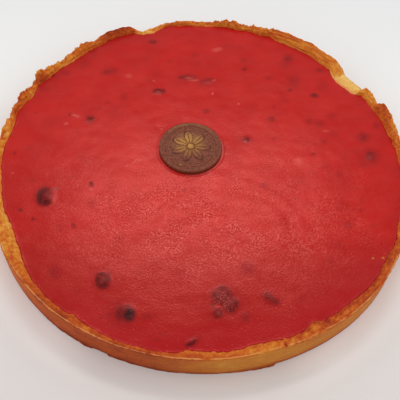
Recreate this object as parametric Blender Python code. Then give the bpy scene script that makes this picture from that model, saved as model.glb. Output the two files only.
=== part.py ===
"""A praline tart, 26 cm across, in metres, with +Z up.

A shortcrust case, baked in a plain ring and trimmed by hand, holds set red praline cream.
Nuts lie just under the skin of the cream, and a thin chocolate disc rests near its middle.
The origin is the middle of the flat underside. Angles run anticlockwise from +X, in degrees.
"""

import math
from collections import namedtuple

import bmesh
import bpy
from mathutils import Vector, noise
from mathutils.geometry import delaunay_2d_cdt

MM = 0.001

# Driving sizes of the tart
TART_RADIUS = 130.0 * MM
FLOOR_THICKNESS = 4.0 * MM
CREAM_LEVEL = 17.4 * MM
CREAM_DOME = 0.5 * MM
PIECE_GAP = 0.3 * MM

# The case's outside, from the floor up
UNDERSIDE_INSET = 1.6 * MM
FOOT_HEIGHT = 1.0 * MM
FOOT_SPREAD = 0.5 * MM
WALL_LEAN = 0.4 * MM
WALL_TURN = 9.0 * MM
DISH_TAPER = 0.6 * MM
DISH_CORNER = 3.0 * MM
LOWEST_RIM = CREAM_LEVEL + 0.35 * MM

# Steps round the case: the rim carries the crags, so it is twice as fine as the walls
WALL_STEPS = 180
RIM_STEPS = 2 * WALL_STEPS
CRUMB_SIZE = 3.2 * MM

# The chocolate disc
DISC_RADIUS = 19.8 * MM
DISC_THICKNESS = 3.0 * MM
DISC_CENTRE = (-7.9 * MM, 10.0 * MM)
DISC_STEPS = 72

# The hand-trimmed rim, as (angle, millimetres), straight from one row to the next
INNER_EDGE = (
    (5, 125.6), (13, 125.7), (15, 124.3), (19, 125.4), (30, 124.6), (32, 123.7), (34, 119.8),
    (41, 118.1), (43, 118.8), (46, 123.8), (49, 123.0), (55, 124.8), (67, 124.5), (70, 126.9),
    (73, 124.9), (76, 126.5), (80, 125.4), (85, 126.9), (93, 125.0), (96, 126.1), (103, 127.2),
    (106, 125.7), (109, 121.9), (113, 122.4), (116, 126.9), (124, 127.2), (127, 126.0),
    (139, 124.6), (144, 125.7), (149, 125.4), (153, 127.2), (157, 124.4), (165, 127.0),
    (169, 124.3), (172, 123.7), (178, 124.8), (183, 124.4), (189, 123.2), (200, 123.0),
    (206, 121.3), (213, 121.7), (224, 126.3), (236, 126.9), (239, 125.4), (246, 127.2),
    (252, 127.2), (266, 126.4), (269, 124.0), (274, 123.6), (279, 125.1), (285, 123.1),
    (291, 123.2), (293, 124.2), (299, 124.9), (302.5, 122.5), (305, 125.0), (314, 125.7),
    (324, 127.2), (332, 125.9), (337, 127.2), (343, 124.7), (350, 124.8), (357, 126.0),
)
OUTER_EDGE = (
    (5, 129.9), (15, 129.7), (24, 130.4), (26.5, 129.0), (28, 129.5), (33, 129.4), (34.5, 128.3),
    (41, 127.3), (42.5, 129.2), (48, 130.1), (52, 130.0), (56, 130.6), (62, 130.2), (64, 130.5),
    (70, 130.0), (73, 129.5), (77, 129.3), (84, 129.8), (87, 129.3), (105, 129.3), (109, 127.4),
    (112.5, 125.2), (115, 129.2), (119, 130.0), (124, 130.2), (128, 129.3), (132, 129.8),
    (138, 129.3), (146, 129.4), (149.5, 130.8), (153, 129.4), (160, 129.9), (164, 129.3),
    (176, 129.3), (184, 129.9), (200, 130.2), (240, 130.4), (255, 130.2), (270, 129.8),
    (290, 129.7), (305, 130.2), (320, 131.2), (331, 130.6), (340, 130.0), (350, 130.2),
)
CREST = (
    (4, 20.9), (9, 20.4), (13.5, 21.2), (15, 22.5), (20, 24.9), (24.3, 25.0), (26.6, 19.6),
    (28.5, 21.6), (32.4, 21.9), (33.6, 18.0), (42, 18.0), (43.6, 20.4), (47, 22.7), (52, 22.6),
    (56, 24.3), (58.5, 23.4), (62, 23.1), (64, 23.9), (67, 22.5), (70, 22.3), (72, 20.9),
    (75, 21.2), (77, 20.2), (80, 20.5), (85, 21.6), (88, 20.2), (90, 18.4), (94, 18.7),
    (101, 19.9), (105, 18.2), (114, 18.0), (116.5, 22.0), (124, 23.1), (129, 19.8), (132, 22.1),
    (135, 22.0), (138, 19.8), (140, 20.8), (142, 18.9), (144, 20.7), (147.5, 22.0), (149.5, 25.0),
    (151.5, 23.0), (155, 19.9), (157.5, 21.4), (160, 23.2), (162, 21.3), (166, 20.8),
    (168, 19.2), (172, 20.5), (175, 19.6), (179, 20.0), (183, 21.4), (187, 20.3), (191, 21.6),
    (196, 21.0), (202, 20.2), (208, 20.6), (216, 20.3), (264, 20.3), (270, 19.9), (279, 20.0),
    (287, 20.2), (301, 20.2), (303, 20.9), (305, 20.3), (320, 19.9), (327, 20.6), (331, 21.2),
    (336, 20.5), (340, 21.8), (344, 20.4), (349, 21.4), (354, 20.2),
)
# Crumbly stretches, as (start, end), where the trimmed edge is torn rather than smooth
TORN_STRETCHES = ((70, 100), (128, 168), (182, 198), (336, 362))
TORN_FADE = 4.0
TORN_RISE = 0.9 * MM
SMOOTH_RISE = 0.25 * MM
# Where dough seeped out under the ring, as (start, end, fade, millimetres)
SEEPED_STRETCHES = (
    (96, 131, 3, 0.8), (226, 243, 8, 0.8), (248.8, 288.6, 1.5, 1.0), (352, 375, 3, 0.8),
)
# A crest of ordinary height is as wide as the wall, and a tall flap is thin at its top
TALL_CREST = (21.0 * MM, 23.5 * MM)

# Nuts under the skin of the cream: middle x and y, half length, half width, turn, and rise,
# in millimetres and degrees
Nut = namedtuple("Nut", "x y half_length half_width turn rise")
NUTS = (
    Nut(-93.3, -30.8, 5.6, 5.2, 70, 1.7),
    Nut(-51.5, -85.5, 4.8, 4.4, 10, 1.1),
    Nut(-36.5, -104.0, 4.8, 4.0, -20, 1.3),
    Nut(17.6, -90.0, 6.6, 5.2, 20, 1.2),
    Nut(21.5, -94.5, 5.4, 4.0, -40, 1.0),
    Nut(14.0, -100.0, 4.4, 3.2, -10, 0.7),
    Nut(42.5, -90.0, 5.0, 2.4, -35, 0.8),
    Nut(0.2, -119.0, 3.9, 2.0, 35, 0.9),
    Nut(-32.0, 58.8, 4.2, 2.8, 0, 1.2),
    Nut(-11.5, 73.6, 6.0, 2.2, -5, 0.8),
    Nut(1.8, 71.2, 4.6, 2.4, 10, 0.7),
    Nut(-74.5, 30.8, 3.2, 2.6, 40, 0.8),
    Nut(28.0, 21.8, 3.2, 2.0, 10, 0.8),
    Nut(107.5, 13.8, 3.8, 3.6, 0, 0.9),
    Nut(-40.0, 107.3, 3.4, 2.4, 0, 0.6),
)
NUT_RINGS = (0.35, 0.7, 1.0, 1.35)
NUT_RING_STEPS = 10
CREAM_GRID = 9.0 * MM

CRUST_BROWN = (0.50, 0.22, 0.06, 1.0)
CREAM_RED = (0.47, 0.02, 0.02, 1.0)
CHOCOLATE_BROWN = (0.10, 0.036, 0.020, 1.0)


def smooth_step(share):
    """0 to 1 with level ends."""
    share = min(max(share, 0.0), 1.0)
    return share * share * (3.0 - 2.0 * share)


def within(angle, start, end, fade):
    """1 on the stretch from start to end, falling smoothly to 0 over fade degrees outside it."""
    middle, half = (start + end) / 2.0, (end - start) / 2.0
    off = abs((angle - middle + 180.0) % 360.0 - 180.0)
    return 1.0 - smooth_step((off - half) / fade)


def most_within(angle, stretches, fade):
    return max(within(angle, start, end, fade) for start, end in stretches)


def rim_noise(angle, size, seed):
    """About -1 to 1, with features of the given size along the rim, the same at 0 and 360 degrees."""
    radians = math.radians(angle)
    reach = TART_RADIUS / size
    return 2.0 * noise.noise(Vector((reach * math.cos(radians), reach * math.sin(radians), seed)))


def along_rim(table, angle):
    """The value at this angle of a table of (angle, millimetres), in metres."""
    angle %= 360.0
    after = next((i for i, row in enumerate(table) if row[0] > angle), len(table))
    start, low = table[after - 1]
    end, high = table[after % len(table)]
    share = ((angle - start) % 360.0) / ((end - start) % 360.0)
    return (low + (high - low) * share) * MM


def inner_radius(angle):
    """The case's inner face at the level of the cream."""
    return along_rim(INNER_EDGE, angle)


def outer_radius(angle):
    """The rim's outer edge."""
    torn = most_within(angle, TORN_STRETCHES, TORN_FADE)
    return along_rim(OUTER_EDGE, angle) + (0.1 + 0.3 * torn) * MM * rim_noise(angle, CRUMB_SIZE, 11)


def rim_top(angle):
    """The height of the rim's crest."""
    crest = along_rim(CREST, angle)
    torn = most_within(angle, TORN_STRETCHES, TORN_FADE)
    rise = SMOOTH_RISE + torn * (TORN_RISE - SMOOTH_RISE)
    rise *= smooth_step((crest - CREAM_LEVEL) / (3.0 * MM))
    return max(crest + rise * rim_noise(angle, CRUMB_SIZE, 23), LOWEST_RIM)


def case_stations(angle):
    """The case's section at this angle, from under the floor, up the wall, over the rim and down
    to the floor inside, as (radius, height, steps round)."""
    inner, outer, top = inner_radius(angle), outer_radius(angle), rim_top(angle)
    width = outer - inner
    seep = MM * max(
        spread * within(angle, start, end, fade) for start, end, fade, spread in SEEPED_STRETCHES
    )
    foot = TART_RADIUS + FOOT_SPREAD + seep
    lower_wall = TART_RADIUS + WALL_LEAN
    crumb = 0.3 * MM * rim_noise(angle, CRUMB_SIZE, 31)
    tall = smooth_step((top - TALL_CREST[0]) / (TALL_CREST[1] - TALL_CREST[0]))
    ridge = (0.5 - 0.2 * tall) * width
    ridge_height = top - (0.25 + 0.45 * tall) * MM + crumb
    inner_top = max(top - 1.2 * MM - 0.35 * tall * (top - CREAM_LEVEL), LOWEST_RIM)
    return (
        (foot - UNDERSIDE_INSET, 0.0, WALL_STEPS),
        (foot, 0.6 * FOOT_HEIGHT, WALL_STEPS),
        (lower_wall, FOOT_HEIGHT + 0.8 * seep, WALL_STEPS),
        (lower_wall, WALL_TURN, WALL_STEPS),
        (min(outer + 0.15 * MM, lower_wall), top - 2.6 * MM, RIM_STEPS),
        (outer, top - 0.5 * MM, RIM_STEPS),
        (outer - 0.12 * width, top, RIM_STEPS),
        (outer - ridge, ridge_height, RIM_STEPS),
        (inner + 0.2 * width, inner_top, RIM_STEPS),
        (inner, CREAM_LEVEL - 0.6 * MM, WALL_STEPS),
        (inner - DISH_TAPER, FLOOR_THICKNESS + DISH_CORNER, WALL_STEPS),
        (inner - DISH_TAPER - DISH_CORNER, FLOOR_THICKNESS, WALL_STEPS),
    )


def ring_point(angle, radius, height):
    radians = math.radians(angle)
    return Vector((radius * math.cos(radians), radius * math.sin(radians), height))


def join_rings(mesh, lower, upper):
    """Faces between two rings of points, which have as many points or differ by a factor of two."""
    steps = min(len(lower), len(upper))
    for i in range(steps):
        j = (i + 1) % steps
        if len(lower) == len(upper):
            mesh.faces.new((lower[i], lower[j], upper[j], upper[i]))
        elif len(upper) > len(lower):
            fine = upper[2 * i], upper[2 * i + 1], upper[2 * j]
            mesh.faces.new((lower[i], fine[1], fine[0]))
            mesh.faces.new((lower[i], lower[j], fine[1]))
            mesh.faces.new((lower[j], fine[2], fine[1]))
        else:
            fine = lower[2 * i], lower[2 * i + 1], lower[2 * j]
            mesh.faces.new((upper[i], fine[0], fine[1]))
            mesh.faces.new((upper[i], fine[1], upper[j]))
            mesh.faces.new((upper[j], fine[1], fine[2]))


def fan(mesh, ring, height, facing_up):
    """Closes a ring with triangles to a point on the axis."""
    middle = mesh.verts.new((0.0, 0.0, height))
    for i, first in enumerate(ring):
        second = ring[(i + 1) % len(ring)]
        corners = (first, second, middle) if facing_up else (second, first, middle)
        mesh.faces.new(corners)


def plain_material(name, colour, roughness, metallic=0.0):
    material = bpy.data.materials.new(name)
    material.use_nodes = True
    shader = material.node_tree.nodes["Principled BSDF"]
    shader.inputs["Base Color"].default_value = colour
    shader.inputs["Roughness"].default_value = roughness
    shader.inputs["Metallic"].default_value = metallic
    return material


def add_object(name, mesh, material, sharp_angle):
    data = bpy.data.meshes.new(name)
    mesh.normal_update()
    mesh.to_mesh(data)
    mesh.free()
    data.shade_smooth()
    data.set_sharp_from_angle(angle=math.radians(sharp_angle))
    data.materials.append(material)
    made = bpy.data.objects.new(name, data)
    bpy.context.scene.collection.objects.link(made)
    return made


def build_case():
    """The baked shortcrust: a flat floor and an upright wall with a hand-trimmed rim."""
    mesh = bmesh.new()
    station_steps = [steps for _, _, steps in case_stations(0.0)]
    rings = []
    for station, steps in enumerate(station_steps):
        ring = []
        for i in range(steps):
            angle = 360.0 * i / steps
            radius, height, _ = case_stations(angle)[station]
            ring.append(mesh.verts.new(ring_point(angle, radius, height)))
        rings.append(ring)
    for lower, upper in zip(rings, rings[1:]):
        join_rings(mesh, lower, upper)
    fan(mesh, rings[0], 0.0, facing_up=False)
    fan(mesh, rings[-1], FLOOR_THICKNESS, facing_up=True)
    crust = plain_material("baked_shortcrust", CRUST_BROWN, 0.7)
    return add_object("pastry_case", mesh, crust, 50)


def nut_place(nut, x, y):
    """How far (x, y) is from a nut's middle: 1 on its outline."""
    turn = math.radians(nut.turn)
    along = (x - nut.x * MM) * math.cos(turn) + (y - nut.y * MM) * math.sin(turn)
    across = (y - nut.y * MM) * math.cos(turn) - (x - nut.x * MM) * math.sin(turn)
    return math.hypot(along / (nut.half_length * MM), across / (nut.half_width * MM))


def cream_height(x, y):
    """The skin of the cream: nearly level, a little domed, and lifted where a nut lies under it."""
    share = math.hypot(x, y) / TART_RADIUS
    bump = max(nut.rise * (1.0 - smooth_step(nut_place(nut, x, y) / NUT_RINGS[-1])) for nut in NUTS)
    return CREAM_LEVEL + CREAM_DOME * (1.0 - share * share) + bump * MM


def cream_points():
    """Points of the cream's skin inside its edge: rings round each nut, and a grid elsewhere."""
    points = []
    for nut in NUTS:
        turn = math.radians(nut.turn)
        points.append((nut.x * MM, nut.y * MM))
        for scale in NUT_RINGS:
            for i in range(NUT_RING_STEPS):
                angle = 2.0 * math.pi * i / NUT_RING_STEPS
                along = scale * nut.half_length * MM * math.cos(angle)
                across = scale * nut.half_width * MM * math.sin(angle)
                x = nut.x * MM + along * math.cos(turn) - across * math.sin(turn)
                y = nut.y * MM + along * math.sin(turn) + across * math.cos(turn)
                others = [other for other in NUTS if other is not nut]
                if min(nut_place(other, x, y) for other in others) > NUT_RINGS[-1]:
                    points.append((x, y))
    rows = int(TART_RADIUS / CREAM_GRID) + 1
    for row in range(-rows, rows + 1):
        for column in range(-rows, rows + 1):
            x = (column + 0.5 * (row % 2)) * CREAM_GRID
            y = row * CREAM_GRID * math.sqrt(0.75)
            room = inner_radius(math.degrees(math.atan2(y, x))) - math.hypot(x, y)
            clear_of_nuts = min(nut_place(nut, x, y) for nut in NUTS) > 1.7
            if room > 0.6 * CREAM_GRID and clear_of_nuts:
                points.append((x, y))
    return points


def build_cream():
    """The set praline cream, which fills the case down to its floor."""
    mesh = bmesh.new()
    sections = (
        (-DISH_TAPER - DISH_CORNER - 0.2 * MM, FLOOR_THICKNESS + PIECE_GAP),
        (-DISH_TAPER, FLOOR_THICKNESS + DISH_CORNER + 0.1 * MM),
        (0.0, CREAM_LEVEL - 0.4 * MM),
    )
    angles = [360.0 * i / WALL_STEPS for i in range(WALL_STEPS)]
    rings = []
    for offset, height in sections:
        ring = []
        for angle in angles:
            radius = inner_radius(angle) - PIECE_GAP + offset
            ring.append(mesh.verts.new(ring_point(angle, radius, height)))
        rings.append(ring)
    for lower, upper in zip(rings, rings[1:]):
        join_rings(mesh, lower, upper)
    fan(mesh, rings[0], FLOOR_THICKNESS + PIECE_GAP, facing_up=False)

    rounding = PIECE_GAP + 0.3 * MM
    edge = [ring_point(angle, inner_radius(angle) - rounding, 0.0).to_2d() for angle in angles]
    loop = [(i, (i + 1) % WALL_STEPS) for i in range(WALL_STEPS)]
    flat = edge + [Vector(point) for point in cream_points()]
    found, _, faces, sources, _, _ = delaunay_2d_cdt(flat, loop, [], 1, 1e-7)
    skin = [mesh.verts.new((p.x, p.y, cream_height(p.x, p.y))) for p in found]
    for corners in faces:
        mesh.faces.new([skin[i] for i in corners])
    edge_ring = [None] * WALL_STEPS
    for vertex, came_from in zip(skin, sources):
        for source in came_from:
            if source < WALL_STEPS:
                edge_ring[source] = vertex
    join_rings(mesh, rings[-1], edge_ring)
    cream = plain_material("praline_cream", CREAM_RED, 0.45)
    return add_object("praline_cream", mesh, cream, 50)


def build_disc():
    """The chocolate disc, cast flat with a rounded edge and a low border round its face."""
    mesh = bmesh.new()
    radius, thickness = DISC_RADIUS, DISC_THICKNESS
    profile = (
        (radius - 0.9 * MM, 0.0),
        (radius - 0.2 * MM, 0.5 * MM),
        (radius, 1.3 * MM),
        (radius - 0.25 * MM, thickness - 0.6 * MM),
        (radius - 1.0 * MM, thickness),
        (radius - 3.0 * MM, thickness),
        (radius - 3.8 * MM, thickness - 0.3 * MM),
    )
    x, y = DISC_CENTRE
    resting = max(
        cream_height(x + radius * math.cos(turn), y + radius * math.sin(turn))
        for turn in (math.radians(angle) for angle in range(0, 360, 15))
    )
    bottom = max(resting, cream_height(x, y)) + PIECE_GAP
    rings = []
    for ring_radius, height in profile:
        ring = []
        for i in range(DISC_STEPS):
            ring.append(mesh.verts.new(ring_point(360.0 * i / DISC_STEPS, ring_radius, height)))
        rings.append(ring)
    for lower, upper in zip(rings, rings[1:]):
        join_rings(mesh, lower, upper)
    fan(mesh, rings[0], 0.0, facing_up=False)
    fan(mesh, rings[-1], profile[-1][1], facing_up=True)
    chocolate = plain_material("cast_chocolate", CHOCOLATE_BROWN, 0.5)
    disc = add_object("chocolate_disc", mesh, chocolate, 50)
    disc.location = (x, y, bottom)
    return disc


for old in list(bpy.data.objects):
    bpy.data.objects.remove(old, do_unlink=True)

tart = bpy.data.objects.new("praline_tart", None)
bpy.context.scene.collection.objects.link(tart)
for piece in (build_case(), build_cream(), build_disc()):
    piece.parent = tart
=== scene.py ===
"""A praline tart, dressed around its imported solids.

A shortcrust case holds set red praline cream with nuts under its skin, and a thin chocolate disc
rests near the middle. Lengths are in metres, and angles run anticlockwise from +X, in degrees.
"""

import math

import bpy
import numpy as np
from mathutils import Matrix, Vector, noise


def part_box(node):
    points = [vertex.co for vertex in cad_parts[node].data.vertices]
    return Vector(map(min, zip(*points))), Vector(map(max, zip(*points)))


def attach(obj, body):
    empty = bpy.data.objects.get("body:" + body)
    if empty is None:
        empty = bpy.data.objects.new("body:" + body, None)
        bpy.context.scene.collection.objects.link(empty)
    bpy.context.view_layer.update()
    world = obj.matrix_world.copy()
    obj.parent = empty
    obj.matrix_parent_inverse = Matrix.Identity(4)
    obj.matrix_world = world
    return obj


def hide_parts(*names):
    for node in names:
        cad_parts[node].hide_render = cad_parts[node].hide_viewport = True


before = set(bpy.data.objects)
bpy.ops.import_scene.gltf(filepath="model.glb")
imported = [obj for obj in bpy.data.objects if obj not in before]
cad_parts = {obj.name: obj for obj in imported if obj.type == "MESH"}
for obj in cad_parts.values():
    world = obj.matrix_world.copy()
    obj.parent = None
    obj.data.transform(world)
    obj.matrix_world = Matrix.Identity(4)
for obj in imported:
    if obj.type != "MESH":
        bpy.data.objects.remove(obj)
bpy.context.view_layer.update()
MM = 0.001

# --------------------------------------------------------------------------------------------
# The pastry case: shortcrust rolled out, pressed into a plain ring, baked until golden and then
# trimmed by hand. Its wall is smooth where the ring held it, its rim is torn and crumbly, and the
# dough that seeped out under the ring made a thin brown foot.

TART_RADIUS = 130.0 * MM
FLOOR_THICKNESS = 4.0 * MM
CREAM_LEVEL = 17.4 * MM
CREAM_DOME = 0.5 * MM
UNDERSIDE_INSET = 1.6 * MM
FOOT_HEIGHT = 1.0 * MM
FOOT_SPREAD = 0.5 * MM
WALL_LEAN = 0.4 * MM
WALL_TURN = 9.0 * MM
DISH_TAPER = 0.6 * MM
DISH_CORNER = 3.0 * MM
DISH_TOP = CREAM_LEVEL - 0.6 * MM  # the dish tapers from here down
LOWEST_RIM = CREAM_LEVEL + 0.35 * MM
RIM_TURNS = 1440  # steps round the case, 0.57 mm each
CRUMB_SIZE = 3.2 * MM

# The hand-trimmed rim, as (angle, millimetres), straight from one row to the next
INNER_EDGE = (
    (5, 125.6), (13, 125.7), (15, 124.3), (19, 125.4), (30, 124.6), (32, 123.7), (34, 119.8),
    (41, 118.1), (43, 118.8), (46, 123.8), (49, 123.0), (55, 124.8), (67, 124.5), (70, 126.9),
    (73, 124.9), (76, 126.5), (80, 125.4), (85, 126.9), (93, 125.0), (96, 126.1), (103, 127.2),
    (106, 125.7), (109, 121.9), (113, 122.4), (116, 126.9), (124, 127.2), (127, 126.0),
    (139, 124.6), (144, 125.7), (149, 125.4), (153, 127.2), (157, 124.4), (165, 127.0),
    (169, 124.3), (172, 123.7), (178, 124.8), (183, 124.4), (189, 123.1), (200, 122.8),
    (206, 120.8), (213, 121.5), (224, 126.0), (236, 126.7), (239, 125.1), (246, 126.7),
    (252, 127.0), (266, 126.1), (269, 123.5), (274, 123.6), (279, 125.0), (285, 123.0),
    (291, 123.2), (293, 124.1), (299, 124.5), (302.5, 121.9), (305, 124.9), (314, 125.2),
    (324, 126.9), (332, 125.3), (337, 126.8), (343, 124.7), (350, 124.8), (357, 126.0),
)
OUTER_EDGE = (
    (5, 129.9), (15, 129.7), (24, 130.4), (26.5, 129.0), (28, 129.5), (33, 129.4), (34.5, 128.3),
    (41, 127.3), (42.5, 129.2), (48, 130.1), (52, 130.0), (56, 130.6), (62, 130.2), (64, 130.5),
    (70, 130.0), (73, 129.5), (77, 129.3), (84, 129.8), (87, 129.3), (105, 129.3), (109, 127.4),
    (112.5, 125.2), (115, 129.2), (119, 130.0), (124, 130.2), (128, 129.3), (132, 129.8),
    (138, 129.3), (147, 129.4), (150.6, 130.9), (153.4, 129.4), (160, 129.9), (164, 129.3),
    (176, 129.3), (184, 129.9), (200, 130.4), (205, 130.8), (214, 131.3), (236, 131.4),
    (244, 130.9), (255, 130.6), (262, 130.1), (270, 129.8), (290, 129.6), (298, 130.2),
    (305, 131.0), (312, 131.6), (320, 132.0), (331, 131.3), (340, 130.4), (350, 130.2),
)
# How far the wall stands out from a true circle: the ring wasn't quite round
OUT_OF_ROUND = (
    (180, 0.0), (198, 0.1), (207, 0.5), (216, 1.0), (225, 1.2), (236, 1.0), (242, 0.6),
    (248, -0.2), (280, -0.3), (290, 0.0), (298, 0.3), (306, 0.8), (316, 1.3), (324, 1.3),
    (336, 0.5), (346, 0.0),
)
CREST = (
    (4, 20.9), (9, 20.4), (13.5, 21.2), (15, 22.5), (20, 24.9), (24.3, 25.0), (26.6, 19.6),
    (28.5, 21.6), (32.4, 21.9), (33.6, 18.0), (42, 18.0), (43.6, 20.4), (47, 22.7), (52, 22.6),
    (56, 24.3), (58.5, 23.4), (62, 23.1), (64, 23.9), (67, 22.5), (70, 22.3), (72, 20.9),
    (75, 21.2), (77, 20.2), (80, 20.5), (85, 21.6), (88, 20.2), (90, 18.4), (94, 18.8),
    (101, 19.9), (105, 18.2), (114, 18.0), (116.5, 22.0), (124, 23.1), (129, 19.8), (132, 22.1),
    (135, 22.0), (138, 19.8), (140, 20.8), (142, 18.9), (144, 20.7), (148.6, 22.6), (150.6, 25.0),
    (152.4, 22.4), (155, 19.9), (157.5, 21.4), (160, 23.2), (162, 21.3), (166, 20.8),
    (168, 19.2), (172, 20.5), (175, 19.6), (179, 20.0), (183, 21.4), (187, 20.3), (191, 21.6),
    (196, 21.0), (202, 20.2), (208, 20.6), (216, 20.3), (264, 20.3), (270, 19.9), (279, 20.0),
    (287, 20.2), (292.4, 20.2), (292.9, 19.5), (293.4, 20.2), (299, 19.9), (300, 20.8),
    (303, 21.1), (305.5, 20.9), (306.5, 20.2), (320, 19.9), (327, 20.6), (331, 21.2),
    (336, 20.5), (340, 21.8), (344, 20.4), (349, 21.4), (354, 20.2),
)
# How browned the crest and the face below it are, as (angle, crest, face), from 0 pale to 1 dark
BROWNING = (
    (5, 0.62, 0.52), (12, 0.68, 0.58), (16, 0.34, 0.58), (20, 0.62, 0.60), (24, 0.72, 0.70),
    (26, 0.46, 0.48), (28, 0.40, 0.46), (32, 0.47, 0.50), (33.8, 0.22, 0.14), (36, 0.16, 0.08),
    (41, 0.20, 0.10), (43, 0.30, 0.28), (48, 0.48, 0.46), (56, 0.62, 0.48), (64, 0.50, 0.48),
    (71, 0.58, 0.58), (76, 0.48, 0.54), (80, 0.54, 0.50), (84, 0.62, 0.56), (88, 0.64, 0.44),
    (92, 0.58, 0.52), (96, 0.58, 0.58), (100, 0.54, 0.56), (104, 0.68, 0.64), (107, 0.42, 0.36),
    (112, 0.30, 0.34), (114.5, 0.58, 0.50), (117, 0.84, 0.70), (124, 0.92, 0.72),
    (128, 0.57, 0.58), (132, 0.64, 0.54), (136, 0.56, 0.50), (140, 0.50, 0.42), (144, 0.54, 0.46),
    (148, 0.51, 0.48), (150.6, 0.50, 0.84), (152, 0.44, 0.66), (154, 0.52, 0.58), (157, 0.54, 0.52),
    (160, 0.78, 0.54), (165, 0.66, 0.68), (169, 0.46, 0.62), (172, 0.48, 0.44), (176, 0.66, 0.40),
    (186, 0.58, 0.42), (198, 0.44, 0.32), (208, 0.42, 0.32), (218, 0.56, 0.38), (225, 0.70, 0.56),
    (234, 0.80, 0.68), (240, 0.68, 0.60), (258, 0.72, 0.64), (266, 0.68, 0.62), (272, 0.62, 0.56),
    (280, 0.66, 0.52), (285, 0.46, 0.50), (290, 0.46, 0.54), (292.4, 0.56, 0.60),
    (292.9, 1.00, 0.64), (293.4, 0.58, 0.62), (298, 0.62, 0.68), (304, 0.74, 0.78),
    (308, 0.70, 0.74), (320, 0.78, 0.78), (328, 0.68, 0.72), (340, 0.62, 0.54), (354, 0.58, 0.50),
)
WALL_BROWNING = (
    (10, 0.50), (100, 0.55), (200, 0.38), (210, 0.44), (222, 0.54), (232, 0.65), (244, 0.71),
    (262, 0.69), (270, 0.50), (278, 0.34), (288, 0.38), (300, 0.43), (316, 0.43), (330, 0.50),
)
TORN_STRETCHES = ((70, 88), (128, 168), (182, 198), (336, 362))
TORN_FADE = 4.0
# How far the seeped dough reaches, as (angle, millimetres)
SEEPED = (
    (12, 0.7), (16, 0.0), (92, 0.0), (97, 0.7), (130, 0.8), (131, 0.0), (222, 0.0), (230, 0.15),
    (236, 0.6), (240, 0.45), (245.2, 0.9), (245.8, 0.0), (249.4, 0.0), (250.0, 0.9), (253, 0.45),
    (266, 0.4), (268, 0.1), (274, 0.15), (280, 0.3), (284, 0.7), (288, 0.8), (290.4, 1.4),
    (291.2, 0.0), (350, 0.0), (354, 0.7),
)
TALL_CREST = (21.0 * MM, 23.5 * MM)  # between these heights it thins as it rises


def smooth_step(share):
    """0 to 1 with level ends."""
    share = np.clip(share, 0.0, 1.0)
    return share * share * (3.0 - 2.0 * share)


def bell(off, width):
    """1 where off is 0, falling smoothly on both sides, to 0.37 at this width."""
    return np.exp(-((off / width) ** 2))


def within(angles, start, end, fade):
    """1 on the stretch from start to end, falling smoothly to 0 over fade degrees outside it."""
    middle, half = (start + end) / 2.0, (end - start) / 2.0
    off = np.abs((angles - middle + 180.0) % 360.0 - 180.0)
    return 1.0 - smooth_step((off - half) / fade)


def along_rim(table, angles, column=1):
    """One column of a table of rows that start with an angle, at each of these angles."""
    rows = np.array(table, float)
    return np.interp(angles, rows[:, 0], rows[:, column], period=360.0)


def grain(points, size, basis="PERLIN_ORIGINAL", offset=0.0):
    """Noise at each point, with features of the given size. offset moves to another stretch of
    the noise, so that no two patterns match."""
    scaled = np.asarray(points) / size + offset
    return np.array([noise.noise(Vector(p), noise_basis=basis) for p in scaled.reshape(-1, 3)])


def crumbs(points, size, offset=0.0):
    """Rounded lumps of the given size with creases between them, from about -0.5 to 0.5."""
    return 0.5 - grain(points, size, "VORONOI_F1", offset)


def faces_between(rings):
    """Faces that join each ring of points to the next one. A ring is a list of point numbers."""
    return [
        (low[i - 1], low[i], high[i], high[i - 1])
        for low, high in zip(rings, rings[1:])
        for i in range(len(low))
    ]


def faces_to_middle(ring, middle):
    """Faces that close a ring with its middle point."""
    return [(ring[i - 1], ring[i], middle) for i in range(len(ring))]


def mesh_object(name, points, faces, smooth=True):
    """An object with this mesh, linked to the scene."""
    data = bpy.data.meshes.new(name)
    data.from_pydata(np.asarray(points).tolist(), [], faces)
    data.validate()
    if smooth:
        data.shade_smooth()
    made = bpy.data.objects.new(name, data)
    bpy.context.scene.collection.objects.link(made)
    return made


def paint(piece, name, values):
    """Keeps one number for each vertex, for the material to read."""
    layer = piece.data.attributes.new(name, "FLOAT", "POINT")
    layer.data.foreach_set("value", np.asarray(values, np.float32))


def add_node(material, kind, settings=(), inputs=(), stops=()):
    """Adds a shader node. inputs gives a socket its value or links it to another node's output,
    and stops are the (place, colour) of a ramp."""
    made = material.node_tree.nodes.new("ShaderNode" + kind)
    for name, value in dict(settings).items():
        setattr(made, name, value)
    for socket, value in dict(inputs).items():
        if isinstance(value, bpy.types.NodeSocket):
            material.node_tree.links.new(value, made.inputs[socket])
        else:
            made.inputs[socket].default_value = value
    if stops:
        elements = made.color_ramp.elements
        while len(elements) < len(stops):
            elements.new(1.0)
        for element, (place, colour) in zip(elements, stops):
            element.position, element.color = place, colour
    return made


def new_material(name):
    """A material with its Principled shader, as (material, shader)."""
    material = bpy.data.materials.new(name)
    material.use_nodes = True
    return material, material.node_tree.nodes["Principled BSDF"]


def linear(hex_colour):
    """An sRGB hex colour as the linear RGBA that a shader takes."""
    channels = [int(hex_colour[i:i + 2], 16) / 255.0 for i in (1, 3, 5)]
    return [c / 12.92 if c <= 0.04045 else ((c + 0.055) / 1.055) ** 2.4 for c in channels] + [1.0]


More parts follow.
